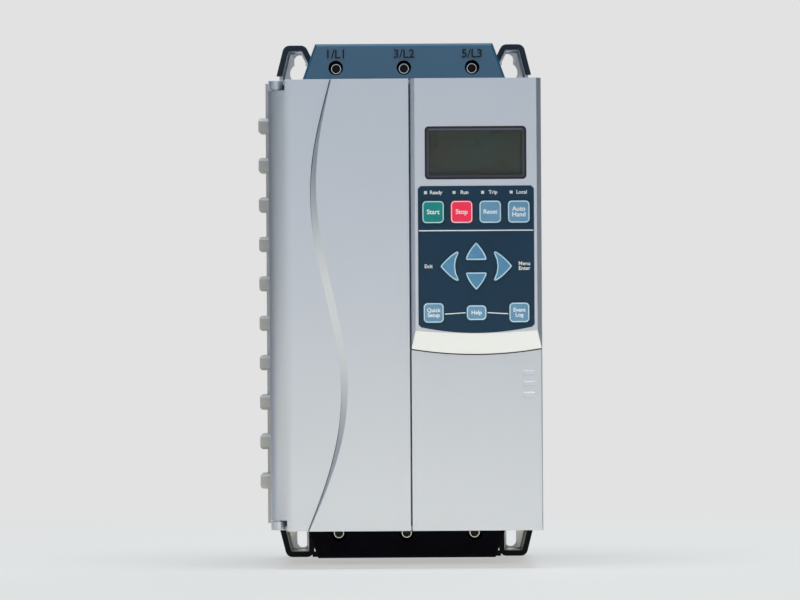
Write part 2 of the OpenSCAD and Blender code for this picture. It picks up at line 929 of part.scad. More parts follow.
// Display on the keypad board, with its metal frame
module lcd_module() {
    top = skin_d - glass_t - 0.1;
    w = window_w + 2;
    h = window_h + 2;
    color("darkolivegreen")
        translate([pad_x, window_y, 0])
            difference() {
                block([-w / 2, -h / 2, key_board_d], [w / 2, h / 2, top]);
                block([-w / 2 + 3, -h / 2 + 3, top - 0.5], [w / 2 - 3, h / 2 - 3, top + 1]);
            }
}

module status_leds() {
    color("white")
        raise(key_board_d, face_d)
            led_field(led_w);
}

module keypad_board() {
    color("darkgreen")
        block(
            [pocket_x0 + 0.6, pocket_y0 + 0.6, key_board_d - board_t],
            [pocket_x1 - 0.6, pocket_y1 - 0.6, key_board_d]
        );
}

// Dome switch under every key
module dome_switches() {
    color("gold")
        for (k = KEYS)
            translate([pad_x + k[1], k[2], 0])
                rotate(k[3] == "plain" ? 0 : k[4])
                    translate([k[3] == "plain" ? 0 : k[3] == "wedge" ? 7 : 14.5, 0, 0]) {
                        block([-2.5, -2.5, key_board_d], [2.5, 2.5, key_board_d + dome_h - 1]);
                        peg([0, 0], 1.5, key_board_d + dome_h - 1.5, key_board_d + dome_h);
                    }
}

// Twin thyristor module: base flange, body and two connection lands
module thyristor_module(x) {
    color("dimgray")
        translate([x, module_y, sink_d])
            difference() {
                union() {
                    block([-module_w / 2, -module_l / 2, 0], [module_w / 2, module_l / 2, 7]);
                    block(
                        [1 - module_w / 2, module_body - module_l / 2, 6],
                        [module_w / 2 - 1, module_l / 2 - module_body, module_h - land_h]
                    );
                    for (y = [-land_y, land_y])
                        block([-9, y - 8, module_h - land_h - 1], [9, y + 8, module_h]);
                }
                for (y = [-1, 1])
                    peg([0, y * (module_l / 2 - module_hole)], screw_r + 0.3, -1, 8);
            }
}

// Screws that hold the modules to the heatsink
module module_screws() {
    color("silver")
        for (x = phases, y = [-1, 1])
            translate([x, module_y + y * (module_l / 2 - module_hole), sink_d]) {
                peg([0, 0], screw_r, -5, 8);
                difference() {
                    peg([0, 0], 3.6, 7, 10);
                    peg([0, 0], 1.6, 8.5, 11, $fn = 6);
                }
            }
}

// Bypass relay beside its module
module bypass_relay(x) {
    color("gray")
        translate([x, relay_y, sink_d])
            difference() {
                block([-relay_w / 2, -relay_l / 2, 0], [relay_w / 2, relay_l / 2, module_h]);
                for (s = [-1, 1])
                    block(
                        [s * relay_w / 2 - 2, -relay_l / 2 + 5, 5],
                        [s * relay_w / 2 + 2, relay_l / 2 - 5, module_h - 6]
                    );
            }
}

// Copper strip that runs from the module land to a terminal, bent twice
module busbar(x, land, bend, tip) {
    s = tip > land ? 1 : -1;
    b = bend - s * bar_t;
    color("peru")
        run_across(x - bar_w / 2, x + bar_w / 2)
            polygon([
                [land, fixing_d],
                [b, fixing_d],
                [b, run_d],
                [tip, run_d],
                [tip, run_d + bar_t],
                [bend, run_d + bar_t],
                [bend, fixing_d + bar_t],
                [land, fixing_d + bar_t]
            ]);
}

module line_busbar(x) {
    busbar(x, module_y + land_y - 8, bend_up_y, terminal_y + terminal_l - 2);
}

module load_busbar(x) {
    busbar(x, module_y - land_y + 8, bend_low_y, 2 - terminal_y - terminal_l);
}

// Tunnel terminal on the busbar: conductor bore from the end, clamping screw from the front
module power_terminal(x) {
    d0 = run_d + bar_t;
    color("goldenrod")
        difference() {
            block(
                [x - terminal_w / 2, terminal_y, d0],
                [x + terminal_w / 2, terminal_y + terminal_l, d0 + terminal_h]
            );
            post(x, bore_d, bore_r, terminal_y + terminal_l - bore_l, terminal_y + terminal_l + 1);
            peg([x, screw_y], screw_r + 0.6, bore_d + bore_r - 1, d0 + terminal_h + 1);
        }
}

// Clamping screws of one row of terminals
module terminal_screws() {
    seat = run_d + bar_t + terminal_h;
    color("silver")
        for (x = phases)
            difference() {
                union() {
                    peg([x, screw_y], screw_r + 0.5, bore_d + bore_r + 0.3, seat + 1);
                    peg([x, screw_y], head_r, seat, seat + head_h);
                }
                peg([x, screw_y], 2, seat + 2, seat + head_h + 1, $fn = 6);
            }
}

// Current transformer round a load busbar
module current_transformer(x) {
    color("darkslategray")
        difference() {
            block([x - ct_w / 2, ct_y - ct_l / 2, sink_d], [x + ct_w / 2, ct_y + ct_l / 2, sink_d + ct_h]);
            block(
                [x - bar_w / 2 - 0.2, ct_y - ct_l, run_d - 0.2],
                [x + bar_w / 2 + 0.2, ct_y + ct_l, run_d + bar_t + 0.2]
            );
        }
}

module board_spacers() {
    color("silver")
        for (x = [-spacer_x, spacer_x], y = [spacer_low_y, spacer_top_y])
            peg([x, y], spacer_r, sink_d, power_d);
}

module power_board() {
    color("darkgreen")
        block(
            [-spacer_x - power_edge, spacer_low_y - power_edge, power_d],
            [spacer_x + power_edge, spacer_top_y + power_edge, power_d + board_t]
        );
}

// Transformer of the control supply, on the power board
module supply_transformer() {
    color("black")
        translate([supply_x, supply_y, power_d + board_t])
            union() {
                block([-supply_w / 2, -supply_l / 2, 0], [supply_w / 2, supply_l / 2, supply_h]);
                block([5 - supply_w / 2, -coil_l / 2, 3], [supply_w / 2 - 5, coil_l / 2, supply_h - 3]);
            }
}

module control_board() {
    color("darkgreen")
        block([control_x0, -control_y, control_d - board_t], [control_x1, control_y, control_d]);
}

// Poles of the plugs ahead of number i
function poles_before(i) = i == 0 ? 0 : plug_poles[i - 1] + poles_before(i - 1);

function plug_top(i) = plug_run / 2 - poles_before(i) * pole_pitch - plug_gap * i;

// Pin headers on the control board
module control_header() {
    color("black")
        for (i = [0:plug_count - 1])
            block(
                [header_x - header_w / 2, plug_top(i) - plug_poles[i] * pole_pitch, control_d],
                [header_x + header_w / 2, plug_top(i), control_d + header_h]
            );
}

// Plug-in terminal: screw openings in front, wire openings on the left
module control_plug(i) {
    d = control_d + header_h;
    x1 = header_x + header_w / 2;
    x0 = x1 - plug_w;
    y0 = plug_top(i) - plug_poles[i] * pole_pitch;
    color("seagreen")
        difference() {
            run_up(y0, plug_top(i))
                polygon([[x0, d], [x1, d], [x1, d + plug_h - 4], [x1 - 4, d + plug_h], [x0, d + plug_h]]);
            for (p = [0.5:plug_poles[i]]) {
                peg([x0 + 5, y0 + p * pole_pitch], 1.7, d + plug_h - 3, d + plug_h + 1);
                block(
                    [x0 - 1, y0 + p * pole_pitch - 1.4, d + 3],
                    [x0 + 5, y0 + p * pole_pitch + 1.4, d + 6]
                );
            }
        }
}

// Screws in the wiring bay that hold the cover to the chassis posts
module cover_screws() {
    color("silver")
        for (y = [-post_y, post_y])
            difference() {
                union() {
                    peg([post_x, y], screw_r, floor_d - 22, floor_d + 1);
                    peg([post_x, y], 3.8, floor_d, floor_d + 2.6);
                }
                block([post_x - 3, y - 0.5, floor_d + 1.4], [post_x + 3, y + 0.5, floor_d + 3]);
                block([post_x - 0.5, y - 3, floor_d + 1.4], [post_x + 0.5, y + 3, floor_d + 3]);
            }
}

upright() back_plate();
upright() chassis();
upright() heatsink();
upright() terminal_housing();  // line_terminal_housing
upright() mirror([0, 1, 0]) terminal_housing();  // load_terminal_housing
upright() front_cover();
upright() door();
upright() wire_comb();
upright() keypad_bezel();
upright() display_window();
upright() lcd_module();
upright() keypad_overlay();
upright() status_leds();
upright() keypad_board();
upright() dome_switches();
for (k = KEYS)
    upright() key(k);
for (i = [0:2]) {
    upright() thyristor_module(phases[i]);
    upright() bypass_relay(phases[i]);
    upright() line_busbar(phases[i]);
    upright() load_busbar(phases[i]);
    upright() power_terminal(phases[i]);
    upright() mirror([0, 1, 0]) power_terminal(phases[i]);
    upright() current_transformer(phases[i]);
}
upright() terminal_screws();  // line_terminal_screws
upright() mirror([0, 1, 0]) terminal_screws();  // load_terminal_screws
upright() power_board();
upright() board_spacers();
upright() supply_transformer();
upright() control_board();
upright() control_header();
upright() cover_screws();
upright() module_screws();
for (i = [0:plug_count - 1])
    upright() control_plug(i);
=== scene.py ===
"""Looks for the wall-mounted soft starter: finishes, edges, printed marks, small hardware and the set."""

import math

import bmesh
import bpy
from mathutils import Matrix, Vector


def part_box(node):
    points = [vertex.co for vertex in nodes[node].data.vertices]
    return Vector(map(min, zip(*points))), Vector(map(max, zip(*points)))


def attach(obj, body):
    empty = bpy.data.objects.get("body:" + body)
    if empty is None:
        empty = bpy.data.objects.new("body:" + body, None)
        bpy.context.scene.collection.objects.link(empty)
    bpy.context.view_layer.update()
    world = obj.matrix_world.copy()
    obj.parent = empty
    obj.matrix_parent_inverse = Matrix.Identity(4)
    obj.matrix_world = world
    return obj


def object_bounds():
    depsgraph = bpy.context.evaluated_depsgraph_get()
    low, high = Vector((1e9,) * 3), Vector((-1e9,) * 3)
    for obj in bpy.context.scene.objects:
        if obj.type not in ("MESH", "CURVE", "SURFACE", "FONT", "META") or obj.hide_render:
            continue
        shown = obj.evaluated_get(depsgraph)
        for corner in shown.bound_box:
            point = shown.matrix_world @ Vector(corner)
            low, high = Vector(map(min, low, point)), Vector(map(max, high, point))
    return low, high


MM = 0.001

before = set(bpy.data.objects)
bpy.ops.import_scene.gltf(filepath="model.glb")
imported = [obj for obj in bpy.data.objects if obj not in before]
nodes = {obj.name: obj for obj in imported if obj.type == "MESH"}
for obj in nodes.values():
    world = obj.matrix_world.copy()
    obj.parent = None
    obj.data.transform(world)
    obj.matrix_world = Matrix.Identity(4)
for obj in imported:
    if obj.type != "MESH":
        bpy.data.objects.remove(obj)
cad_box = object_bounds()


# Colours and shader nodes

def srgb(r, g, b):
    """A colour given as 0-255 screen values, as the linear RGBA that shaders take."""
    def linear(v):
        v /= 255
        return v / 12.92 if v <= 0.04045 else ((v + 0.055) / 1.055) ** 2.4
    return (linear(r), linear(g), linear(b), 1.0)


def scaled(colour, factor):
    """The same colour, lighter or darker."""
    return tuple(min(1.0, c * factor) for c in colour[:3]) + (1.0,)


class Finish:
    """A Principled material with its colour, roughness and bump from textures in object space."""

    def __init__(self, name, roughness, metallic=0.0, **sockets):
        self.material = bpy.data.materials.new(name)
        self.material.use_nodes = True
        self.tree = self.material.node_tree
        self.shader = self.tree.nodes["Principled BSDF"]
        self.place = self.tree.nodes.new("ShaderNodeTexCoord").outputs["Object"]
        self.roughness = roughness
        self.normal = None
        sockets.update(Metallic=metallic, Roughness=roughness)
        for socket, value in sockets.items():
            self.shader.inputs[socket.replace("_", " ")].default_value = value

    def node(self, kind, settings=None, **inputs):
        """A new node; each input is a value or another node's output."""
        made = self.tree.nodes.new(kind)
        for key, value in (settings or {}).items():
            setattr(made, key, value)
        for key, value in inputs.items():
            self.feed(made.inputs[key], value)
        return made

    def feed(self, socket, value):
        """Sets a socket to a value, or links another node's output to it."""
        if isinstance(value, bpy.types.NodeSocket):
            self.tree.links.new(value, socket)
        else:
            socket.default_value = value

    def stretch(self, x, y, z):
        """Object coordinates drawn out along an axis, for brushed and extruded grain."""
        return self.node("ShaderNodeMapping", Vector=self.place, Scale=(x, y, z)).outputs[0]

    def along(self, axis):
        """The place along one axis of the object, in metres."""
        return self.node("ShaderNodeSeparateXYZ", Vector=self.place).outputs[axis]

    def noise(self, size_mm, detail=3.0, place=None):
        """Soft cloudy pattern with features of about this size."""
        return self.node(
            "ShaderNodeTexNoise", Vector=place or self.place, Scale=1 / (size_mm * MM), Detail=detail
        ).outputs[0]

    def cells(self, size_mm, output="Color"):
        """Crystal-like cells of about this size."""
        return self.node(
            "ShaderNodeTexVoronoi", Vector=self.place, Scale=1 / (size_mm * MM)
        ).outputs[output]

    def remap(self, value, low, high, start=0.3, end=0.7):
        """A value that runs from start to end, brought to run from low to high."""
        made = self.node("ShaderNodeMapRange", Value=value)
        limits = {"From Min": start, "From Max": end, "To Min": low, "To Max": high}
        for socket, limit in limits.items():
            made.inputs[socket].default_value = limit
        return made.outputs[0]

    def mix(self, factor, a, b):
        """Colour a where the factor is 0, and colour b where it is 1."""
        made = self.node("ShaderNodeMix", {"data_type": "RGBA"})
        self.feed(made.inputs["Factor"], factor)
        self.feed(made.inputs["A"], a)
        self.feed(made.inputs["B"], b)
        return made.outputs["Result"]

    def colour(self, value):
        self.feed(self.shader.inputs["Base Color"], value)

    def rough(self, value):
        self.feed(self.shader.inputs["Roughness"], value)

    def shade(self, colour, size_mm, spread):
        """Base colour that wanders a little lighter and darker in patches of this size."""
        factor = self.remap(self.noise(size_mm), 0, 1)
        self.colour(self.mix(factor, scaled(colour, 1 - spread), scaled(colour, 1 + spread)))

    def gloss(self, size_mm, spread):
        """Roughness that varies in patches of this size, from handling and from the mould."""
        low, high = self.roughness - spread, self.roughness + spread
        self.rough(self.remap(self.noise(size_mm), low, high))

    def bump(self, height, depth_mm, strength):
        """Adds relief; several reliefs are stacked."""
        inputs = {"Height": height, "Strength": strength, "Distance": depth_mm * MM}
        if self.normal is not None:
            inputs["Normal"] = self.normal
        self.normal = self.node("ShaderNodeBump", **inputs).outputs[0]
        self.feed(self.shader.inputs["Normal"], self.normal)
        return self


# Finishes

# A moulding with painted shade at its foot, darker towards the bottom, changes from this far above the
# middle to as far below it
PAINTED_SHADE_REACH = 0.1

# How far grain is drawn out along x, y and z
UPRIGHT_GRAIN = (1, 1, 0.03)
DEPTH_GRAIN = (1, 0.2, 1)


def moulding(name, colour, roughness, grain_mm=0.35, grain_depth=0.02, foot=None, **sockets):
    """Injection-moulded plastic: fine grain, with slight flow shading, or with painted shade that darkens
    it to another colour at its foot.
    """
    made = Finish(name, roughness, **sockets)
    if foot:
        rise = made.remap(made.along("Z"), 0, 1, start=-PAINTED_SHADE_REACH, end=PAINTED_SHADE_REACH)
        made.colour(made.mix(rise, foot, colour))
    else:
        made.shade(colour, size_mm=38, spread=0.05)
    made.gloss(size_mm=14, spread=0.05)
    made.bump(made.noise(grain_mm, detail=2), grain_depth, strength=0.5)
    return made.bump(made.noise(6, detail=1), depth_mm=0.02, strength=0.25).material


def silver_paint(name, colour, metallic=0.6):
    """Satin metallic paint: flakes, a trace of orange peel and slow tonal drift."""
    made = Finish(name, 0.36, metallic)
    drift = made.remap(made.noise(60, detail=2), 0, 1)
    base = made.mix(drift, scaled(colour, 0.99), scaled(colour, 1.01))
    flake = made.remap(made.cells(0.18, "Distance"), 0, 0.16, start=0.1, end=0.6)
    made.colour(made.mix(flake, base, scaled(colour, 1.2)))
    made.gloss(size_mm=2.5, spread=0.025)
    made.bump(made.noise(0.3, detail=2), depth_mm=0.008, strength=0.4)
    return made.bump(made.noise(3.5, detail=1), depth_mm=0.006, strength=0.2).material


def zinc(name, colour):
    """Galvanised sheet: spangle cells that differ in shade and gloss, fine scratches."""
    made = Finish(name, 0.42, metallic=0.85)
    spangle = made.node("ShaderNodeSeparateColor", Color=made.cells(4.5)).outputs[0]
    made.colour(made.mix(spangle, scaled(colour, 0.82), scaled(colour, 1.1)))
    made.rough(made.remap(spangle, 0.32, 0.52, start=0, end=1))
    made.bump(made.noise(0.6, detail=4, place=made.stretch(1, 1, 0.04)), depth_mm=0.01, strength=0.4)
    return made.bump(made.noise(8, detail=2), depth_mm=0.02, strength=0.3).material


def brushed(name, colour, roughness, grain=UPRIGHT_GRAIN, metallic=1.0, spread=0.12):
    """Metal with drawn, rolled or turned grain along one axis."""
    made = Finish(name, roughness, metallic)
    lines = made.remap(made.noise(0.25, detail=4, place=made.stretch(*grain)), 0, 1)
    made.colour(made.mix(lines, scaled(colour, 1 - spread), scaled(colour, 1 + spread)))
    made.rough(made.remap(lines, roughness - 0.08, roughness + 0.1, start=0, end=1))
    return made.bump(lines, depth_mm=0.006, strength=0.5).material


def printed_sheet(name, colour):
    """Polyester overlay: velvet texture over an even ink."""
    made = Finish(name, 0.46, Specular_IOR_Level=0.2)
    made.shade(colour, size_mm=24, spread=0.07)
    made.gloss(size_mm=5, spread=0.06)
    return made.bump(made.noise(0.16, detail=3), depth_mm=0.015, strength=0.6).material


def ink(name, colour):
    """Screen-printed line: slightly uneven cover."""
    made = Finish(name, 0.5)
    made.shade(colour, size_mm=1.2, spread=0.06)
    made.gloss(size_mm=2, spread=0.05)
    return made.bump(made.noise(0.12, detail=2), depth_mm=0.006, strength=0.4).material


def key_cap(name, colour):
    """Satin silicone key under a clear lacquer."""
    made = Finish(name, 0.42, Specular_IOR_Level=0.25, Coat_Weight=0.08, Coat_Roughness=0.3)
    made.shade(colour, size_mm=7, spread=0.07)
    made.gloss(size_mm=3, spread=0.05)
    return made.bump(made.noise(0.2, detail=2), depth_mm=0.01, strength=0.5).material


def board(name, mask, tin):
    """Solder mask over copper tracks, with tinned pads."""
    made = Finish(name, 0.35, Coat_Weight=0.3)
    tracks = made.node("ShaderNodeTexBrick", {"offset": 0.37}, Vector=made.place, Scale=90.0)
    tracks.inputs["Mortar Size"].default_value = 0.06
    lighter = made.mix(tracks.outputs["Fac"], mask, scaled(mask, 1.5))
    pads = made.remap(made.cells(3.2, "Distance"), 1, 0, start=0.12, end=0.17)
    made.colour(made.mix(pads, lighter, tin))
    made.gloss(size_mm=4, spread=0.06)
    return made.bump(tracks.outputs["Fac"], depth_mm=0.04, strength=0.5).material


def liquid_crystal(name, colour, other):
    """Unlit display: a drift between two shades, slightly uneven gloss."""
    made = Finish(name, 0.3, Specular_IOR_Level=0.25)
    drift = made.remap(made.noise(26, detail=1), 0, 1)
    made.colour(made.mix(drift, colour, other))
    made.gloss(size_mm=10, spread=0.04)
    return made.bump(made.noise(14, detail=1), depth_mm=0.01, strength=0.2).material


def clear_sheet(name, tint):
    """Acrylic window with a breath of haze."""
    made = Finish(name, 0.08, Alpha=0.16)
    made.shade(tint, size_mm=12, spread=0.03)
    made.gloss(size_mm=9, spread=0.03)
    return made.bump(made.noise(22, detail=1), depth_mm=0.01, strength=0.2).material


silver = silver_paint("silver_moulding", srgb(190, 199, 214))
silver_comb = silver_paint("silver_comb", srgb(170, 173, 177), metallic=0.5)
teal = moulding(
    "terminal_teal", srgb(38, 94, 123), 0.42, Specular_IOR_Level=0.3, Coat_Weight=1.0, Coat_Roughness=0.12
)
# Terminal marks: a dark face that is painted shade, and a paler edge that is a painted highlight
mark_painted_shade = moulding("terminal_mark_painted_shade", srgb(14, 34, 50), 0.55, Specular_IOR_Level=0.2)
mark_painted_highlight = moulding("terminal_mark_painted_highlight", srgb(104, 136, 158), 0.45)
# The lower terminal housing takes the upper housing's teal darkened to near-black: painted shade under
# the cover
shaded_terminal_teal = moulding("terminal_teal_painted_shade", srgb(9, 10, 20), 0.75, Specular_IOR_Level=0.03)
# The chassis passes to near-black towards its foot: painted shade
dark = moulding("chassis_navy_painted_shade", srgb(34, 49, 64), 0.52, foot=srgb(5, 6, 9), Specular_IOR_Level=0.18)
sheet = zinc("zinc_sheet", srgb(220, 226, 233))
aluminium = brushed("heatsink_aluminium", srgb(170, 172, 176), 0.4)
overlay = printed_sheet("navy_overlay", srgb(17, 51, 76))
border_ink = ink("border_ink", srgb(16, 17, 34))
# Paler ring and top strip of the window border: painted highlights
window_bevel_painted_highlight = ink("window_bevel_painted_highlight", srgb(56, 59, 77))
window_top_painted_highlight = ink("window_top_painted_highlight", srgb(86, 84, 110))
white_ink = ink("white_ink", srgb(226, 234, 238))
pale_blue_ink = ink("pale_blue_ink", srgb(198, 226, 238))
green = key_cap("key_green", srgb(0, 134, 134))
red = key_cap("key_red", srgb(252, 46, 88))
blue = key_cap("key_blue", srgb(100, 148, 186))
arrow_blue = key_cap("key_arrow_blue", srgb(82, 138, 180))
lamp = moulding("lamp_lens", srgb(214, 222, 224), 0.2, grain_mm=0.6, grain_depth=0.005)
window = clear_sheet("clear_window", srgb(30, 34, 36))
display = liquid_crystal("display", srgb(72, 94, 90), srgb(80, 82, 76))
display_frame = moulding("display_frame", srgb(24, 30, 38), 0.4)
green_board = board("circuit_board", srgb(18, 84, 52), srgb(196, 190, 170))
dome = brushed("dome_metal", srgb(206, 196, 160), 0.3)
module_black = moulding("module_plastic", srgb(44, 44, 47), 0.5, grain_mm=0.5, grain_depth=0.03)
relay_grey = moulding("relay_plastic", srgb(124, 130, 136), 0.45)
copper = brushed("copper", srgb(206, 138, 98), 0.32)
brass = brushed("terminal_brass", srgb(176, 170, 150), 0.34)
steel = brushed("plated_steel", srgb(206, 208, 210), 0.26, DEPTH_GRAIN)
black_steel = brushed("black_steel", srgb(44, 48, 54), 0.36, DEPTH_GRAIN, metallic=0.7)
# Dark strip under the keypad's chin: painted shadow
chin_painted_shadow = moulding("chin_painted_shadow_strip", srgb(30, 32, 35), 0.7)
crease_grey = moulding("crease_shadow", srgb(48, 55, 66), 0.7, Specular_IOR_Level=0.1)
# Near-black lining for the screw holes: painted shade
hole_painted_shade = moulding("driver_hole_painted_shade", srgb(6, 10, 24), 0.85, Specular_IOR_Level=0.05)
bright_zinc = brushed("bright_zinc", srgb(222, 228, 236), 0.22, DEPTH_GRAIN, spread=0.03)
plug_green = moulding("plug_green", srgb(38, 122, 74), 0.42)
header_black = moulding("header_plastic", srgb(26, 27, 29), 0.45)

# Finish of each node, by the longest start of its name
FINISHES = {
    "back_plate": sheet,
    "chassis": dark,
    "heatsink": aluminium,
    "line_terminal_housing": teal,
    # The lower housing's finish is the teal with painted shade
    "load_terminal_housing": shaded_terminal_teal,
    "front_cover": silver,
    "door": silver,
    "wire_comb": silver_comb,
    "keypad_bezel": silver,
    "display_window": window,
    "lcd_module": display_frame,
    "keypad_overlay": overlay,
    "status_leds": lamp,
    "keypad_board": green_board,
    "dome_switches": dome,
    "key_start": green,
    "key_stop": red,
    "key_reset": blue,
    "key_menu": blue,
    "key_tool": blue,
    "key_": arrow_blue,
    "thyristor_module": module_black,
    "bypass_relay": relay_grey,
    "line_busbar": copper,
    "load_busbar": copper,
    "line_terminal_screws": black_steel,
    "load_terminal_screws": black_steel,
    "line_terminal": brass,
    "load_terminal": brass,
    "current_transformer": module_black,
    "power_board": green_board,
    "board_spacers": steel,
    "supply_transformer": module_black,
    "control_board": green_board,
    "control_header": header_black,
    "cover_screws": steel,
    "module_screws": steel,
    "control_plug": plug_green,
}

# Edge radius in mm; other nodes get the default
EDGES = {
    "front_cover": 0.3,
    "door": 0.3,
    "keypad_bezel": 0.4,
    "chassis": 0.5,
    "line_terminal_housing": 0.8,
    "load_terminal_housing": 0.4,
    "wire_comb": 0.5,
    "keypad_overlay": 0.1,
    "display_window": 0.1,
    "key_": 0.25,
    "control_plug": 0.25,
}
DEFAULT_EDGE = 0.2

# Corners sharper than this many degrees are rounded; the keypad's chin is a shallow one
CORNERS = {"keypad_bezel": 12}
DEFAULT_CORNER = 24

# Points closer than this are one, and seams flatter than this many degrees are cleared
WELD = 0.002 * MM
FLAT = 0.2


def longest_match(name, table, default=None):
    """The entry whose key is the longest start of the name."""
    found = [key for key in table if name.startswith(key)]
    return table[max(found, key=len)] if found else default


def soften(node, radius_mm, corner):
    """Joins split corners, clears flat seams, rounds the sharp edges and evens the shading."""
    weld = node.modifiers.new("weld", "WELD")
    weld.merge_threshold = WELD
    flats = node.modifiers.new("flats", "DECIMATE")
    flats.decimate_type = "DISSOLVE"
    flats.angle_limit = math.radians(FLAT)
    edge = node.modifiers.new("edge", "BEVEL")
    edge.width = radius_mm * MM
    edge.segments = 2
    edge.limit_method = "ANGLE"
    edge.angle_limit = math.radians(corner)
    edge.harden_normals = True
    node.modifiers.new("normals", "WEIGHTED_NORMAL")


for name, node in nodes.items():
    node.data.materials.clear()
    node.data.materials.append(longest_match(name, FINISHES))
    corner = longest_match(name, CORNERS, DEFAULT_CORNER)
    soften(node, longest_match(name, EDGES, DEFAULT_EDGE), corner)


# Pieces

# The faces of a node's front point this squarely forward and lie this close to its front plane
FACING = -0.99
SAME_PLANE = 0.01 * MM


def piece(name, mesh, material, body):
    """A new object made of this mesh that rides on a body."""
    made = bpy.data.objects.new(name, mesh)
    bpy.context.scene.collection.objects.link(made)
    made.data.materials.clear()
    made.data.materials.append(material)
    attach(made, body)


def mesh_of(bm, name):
    """The finished bmesh as a mesh."""
    mesh = bpy.data.meshes.new(name)
    bm.to_mesh(mesh)
    bm.free()
    return mesh


def words(text, size_mm, thick_mm, bold_mm):
    """Lettering as a mesh in x and z, centred on the origin, with its back at y = 0."""
    curve = bpy.data.curves.new("words", "FONT")
    curve.body = text
    curve.size = size_mm * MM
    curve.align_x = "CENTER"
    curve.align_y = "CENTER"
    curve.space_line = 0.9
    curve.offset = bold_mm * MM
    curve.extrude = thick_mm * MM / 2
    holder = bpy.data.objects.new("words", curve)
    bpy.context.scene.collection.objects.link(holder)
    drawn = holder.evaluated_get(bpy.context.evaluated_depsgraph_get())
    mesh = bpy.data.meshes.new_from_object(drawn)
    bpy.data.objects.remove(holder)
    for v in mesh.vertices:
        v.co = Vector((v.co.x, -v.co.z - thick_mm * MM / 2, v.co.y))
    return mesh


def placed(mesh, x, y, z):
    """The mesh moved to its place in the frame."""
    for v in mesh.vertices:
        v.co += Vector((x, y, z))
    return mesh


def bars(outlines, front, thick_mm):
    """Flat strips on the plane y = front, each given by the points x, z round it, in metres."""
    bm = bmesh.new()
    for outline in outlines:
        ring = [bm.verts.new((x, front, z)) for x, z in outline]
        face = bm.faces.new(ring)
        grown = bmesh.ops.extrude_face_region(bm, geom=[face])["geom"]
        lifted = [g for g in grown if isinstance(g, bmesh.types.BMVert)]
        bmesh.ops.translate(bm, verts=lifted, vec=(0, -thick_mm * MM, 0))
    bmesh.ops.recalc_face_normals(bm, faces=bm.faces)
    return mesh_of(bm, "bars")


def front_rim(node, width_mm, thick_mm, margin_mm):
    """A printed outline along the edge of a node's front face."""
    bm = bmesh.new()
    bm.from_mesh(nodes[node].data)
    bmesh.ops.remove_doubles(bm, verts=bm.verts, dist=WELD)
    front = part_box(node)[0].y
    other = [
        f for f in bm.faces
        if f.normal.y > FACING or abs(f.calc_center_median().y - front) > SAME_PLANE
    ]
    bmesh.ops.delete(bm, geom=other, context="FACES")
    bmesh.ops.dissolve_limit(bm, angle_limit=0.01, verts=bm.verts, edges=bm.edges)
    inner = list(bm.faces)
    for step in (margin_mm, width_mm):
        ring = bmesh.ops.inset_region(
            bm, faces=inner, thickness=step * MM, use_boundary=True, use_even_offset=True
        )["faces"]
    bmesh.ops.delete(bm, geom=[f for f in bm.faces if f not in ring], context="FACES")
    bmesh.ops.translate(bm, verts=bm.verts, vec=(0, -thick_mm * MM, 0))
    return mesh_of(bm, "rim")


def centre(node):
    """Middle of a node's box."""
    low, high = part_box(node)
    return (low + high) / 2


# Keypad print: outlines and words on the keys, words on the overlay; sizes in mm
PRINT = 0.03
KEY_LINE_W = 0.5
KEY_LINE_INSET = 0.25
KEY_BOLD = 0.07
LABEL_BOLD = 0.05
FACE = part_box("keypad_overlay")[0].y
KEY_WORDS = {
    "key_start": ("Start", 3.6),
    "key_stop": ("Stop", 3.6),
    "key_reset": ("Reset", 3.4),
    "key_menu": ("Auto\nHand", 3.5),
    "key_tool_left": ("Quick\nSetup", 3.0),
    "key_tool_middle": ("Help", 3.0),
    "key_tool_right": ("Event\nLog", 3.0),
}
for name in [n for n in nodes if n.startswith("key_")]:
    outline = front_rim(name, KEY_LINE_W, PRINT, KEY_LINE_INSET)
    piece(f"{name}_outline", outline, pale_blue_ink, f"{name}_body")
    if name in KEY_WORDS:
        text, size = KEY_WORDS[name]
        at = centre(name)
        legend = placed(words(text, size, PRINT, KEY_BOLD), at.x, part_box(name)[0].y, at.z)
        piece(f"{name}_legend", legend, white_ink, f"{name}_body")

# The word beside the lamp above each key of the top row
LAMP_WORDS = {"key_start": "Ready", "key_stop": "Run", "key_reset": "Trip", "key_menu": "Local"}
LAMP_WORD_SIZE = 2.8
LAMP_WORD_SHIFT = 1.6
lamp_z = centre("status_leds").z
for name, text in LAMP_WORDS.items():
    x = centre(name).x + LAMP_WORD_SHIFT * MM
    mesh = placed(words(text, LAMP_WORD_SIZE, PRINT, LABEL_BOLD), x, FACE, lamp_z)
    piece(f"lamp_label_{text.lower()}", mesh, white_ink, "unit")

# The words left and right of the arrow keys, with their distance from the arrows' middle
ARROW_WORDS = {"exit": ("Exit", -26.2), "enter": ("Menu\nEnter", 26.4)}
ARROW_WORD_SIZE = 2.9
arrows = (centre("key_up") + centre("key_down")) / 2
for name, (text, shift) in ARROW_WORDS.items():
    mesh = placed(words(text, ARROW_WORD_SIZE, PRINT, LABEL_BOLD), arrows.x + shift * MM, FACE, arrows.z)
    piece(f"arrow_label_{name}", mesh, white_ink, "unit")


def line(points, width_mm):
    """Outline of a thin strip along points that run from left to right."""
    half = width_mm * MM / 2
    return [(x, z - half) for x, z in points] + [(x, z + half) for x, z in reversed(points)]


